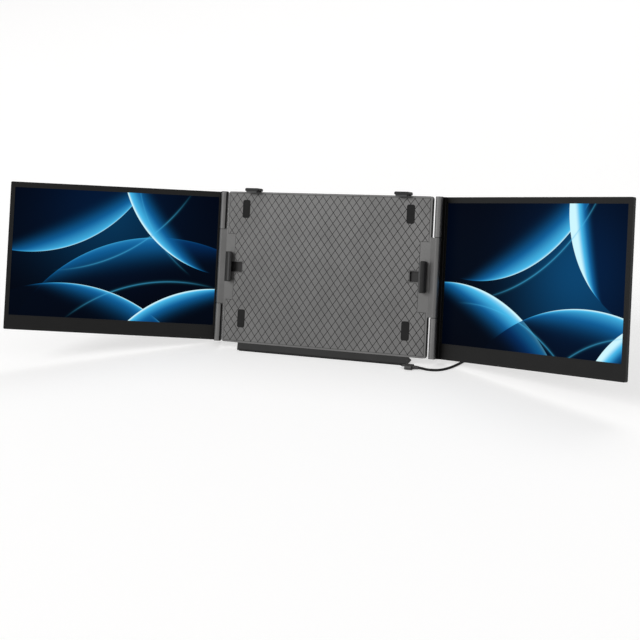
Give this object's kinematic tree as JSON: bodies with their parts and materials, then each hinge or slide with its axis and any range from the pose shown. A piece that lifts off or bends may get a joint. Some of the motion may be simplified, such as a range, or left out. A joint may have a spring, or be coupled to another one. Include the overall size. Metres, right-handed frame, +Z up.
{
  "type": "laptop screen extender",
  "caption": "Laptop screen extender: a leaning centre frame that clips round a laptop's lid, with a hinged screen on each side, a kickstand and a USB-C cable.",
  "frame": {"origin": "on the desk, at the middle of the foot's sole under the centre frame", "axes": "+X to the right as its user sees it, along the row of screens; +Y away from the user; +Z up"},
  "size_m": [0.9299, 0.234, 0.2617],
  "materials": {
    "frame_metal": "satin anodised",
    "back_metal": "satin anodised",
    "steel": "satin",
    "blackened_steel": "satin black coating on steel",
    "dark_plastic": "satin",
    "bezel_plastic": "fine matt",
    "rubber": "matt",
    "clip_silicone": "matt",
    "display_glass": "gloss",
    "light_guide": "gloss",
    "circuit_board": "satin",
    "cable": "matt"
  },
  "bodies": {
    "centre_frame": {"front_panel": "frame_metal", "back_panel": "back_metal", "lid_pads": "rubber", "base_foot": "dark_plastic", "foot_sole": "rubber", "left_hinge_block": "frame_metal", "right_hinge_block": "frame_metal", "left_hinge_pin": "steel", "right_hinge_pin": "steel", "hinge_washers": "steel", "hub_cover": "dark_plastic", "hub_board": "circuit_board", "usb_port": "steel", "kickstand_lugs": "back_metal", "kickstand_pins": "steel", "hub_plug": "cable", "cable_hub_run": "cable", "cable_coil": "cable", "cable_desk_run": "cable", "cable_plug": "cable"},
    "kickstand": {"kickstand_leg": "frame_metal", "kickstand_foot": "rubber"},
    "left_screen": {"left_rear_shell": "dark_plastic", "left_bezel": "bezel_plastic", "left_display": "display_glass", "left_backlight": "light_guide", "left_driver_board": "circuit_board", "left_hinge_rail": "dark_plastic", "left_hinge_barrels": "frame_metal"},
    "right_screen": {"right_rear_shell": "dark_plastic", "right_bezel": "bezel_plastic", "right_display": "display_glass", "right_backlight": "light_guide", "right_driver_board": "circuit_board", "right_hinge_rail": "dark_plastic", "right_hinge_barrels": "frame_metal"},
    "left_clip": {"left_clip_arm": "blackened_steel", "left_clip_jaw": "dark_plastic", "left_clip_liner": "clip_silicone"},
    "right_clip": {"right_clip_arm": "blackened_steel", "right_clip_jaw": "dark_plastic", "right_clip_liner": "clip_silicone"},
    "top_left_clip": {"top_left_clip_arm": "blackened_steel", "top_left_clip_jaw": "dark_plastic", "top_left_clip_liner": "clip_silicone"},
    "top_right_clip": {"top_right_clip_arm": "blackened_steel", "top_right_clip_jaw": "dark_plastic", "top_right_clip_liner": "clip_silicone"},
    "left_power_key_cap": {"left_power_key": "bezel_plastic"},
    "left_up_key_cap": {"left_up_key": "bezel_plastic"},
    "left_down_key_cap": {"left_down_key": "bezel_plastic"},
    "right_power_key_cap": {"right_power_key": "bezel_plastic"},
    "right_up_key_cap": {"right_up_key": "bezel_plastic"},
    "right_down_key_cap": {"right_down_key": "bezel_plastic"}
  },
  "joints": [
    {"name": "right_screen_fold", "type": "hinge", "parent": "centre_frame", "child": "right_screen", "pos_m": [0.1713, 0.03617, 0.11273], "axis": [0, -0.3502, -0.9367], "range_deg": [-21.6, 158.4]},
    {"name": "left_screen_fold", "type": "hinge", "parent": "centre_frame", "child": "left_screen", "pos_m": [-0.1713, 0.03617, 0.11273], "axis": [0, 0.3502, 0.9367], "range_deg": [-28.6, 151.4]},
    {"name": "kickstand_fold", "type": "hinge", "parent": "centre_frame", "child": "kickstand", "pos_m": [0, 0.06825, 0.16941], "axis": [-1, 0, 0], "range_deg": [0, 32.3]},
    {"name": "right_clip_slide", "type": "slide", "parent": "centre_frame", "child": "right_clip", "axis": [-1, 0, 0], "range_m": [-0.001, 0.02]},
    {"name": "left_clip_slide", "type": "slide", "parent": "centre_frame", "child": "left_clip", "axis": [1, 0, 0], "range_m": [-0.001, 0.02]},
    {"name": "top_left_clip_slide", "type": "slide", "parent": "centre_frame", "child": "top_left_clip", "axis": [0, -0.3502, -0.9367], "range_m": [-0.03, 0.0004]},
    {"name": "top_right_clip_slide", "type": "slide", "parent": "centre_frame", "child": "top_right_clip", "axis": [0, -0.3502, -0.9367], "range_m": [-0.03, 0.0004]},
    {"name": "left_power_key_press", "type": "slide", "parent": "left_screen", "child": "left_power_key_cap", "axis": [0.4787, -0.8224, 0.3075], "range_m": [0, 0.0005], "stiffness_N_per_m": 200, "springref_m": -0.001},
    {"name": "left_up_key_press", "type": "slide", "parent": "left_screen", "child": "left_up_key_cap", "axis": [0.4787, -0.8224, 0.3075], "range_m": [0, 0.0005], "stiffness_N_per_m": 200, "springref_m": -0.001},
    {"name": "left_down_key_press", "type": "slide", "parent": "left_screen", "child": "left_down_key_cap", "axis": [0.4787, -0.8224, 0.3075], "range_m": [0, 0.0005], "stiffness_N_per_m": 200, "springref_m": -0.001},
    {"name": "right_power_key_press", "type": "slide", "parent": "right_screen", "child": "right_power_key_cap", "axis": [-0.3681, -0.8709, 0.3256], "range_m": [0, 0.0005], "stiffness_N_per_m": 200, "springref_m": -0.001},
    {"name": "right_up_key_press", "type": "slide", "parent": "right_screen", "child": "right_up_key_cap", "axis": [-0.3681, -0.8709, 0.3256], "range_m": [0, 0.0005], "stiffness_N_per_m": 200, "springref_m": -0.001},
    {"name": "right_down_key_press", "type": "slide", "parent": "right_screen", "child": "right_down_key_cap", "axis": [-0.3681, -0.8709, 0.3256], "range_m": [0, 0.0005], "stiffness_N_per_m": 200, "springref_m": -0.001}
  ]
}
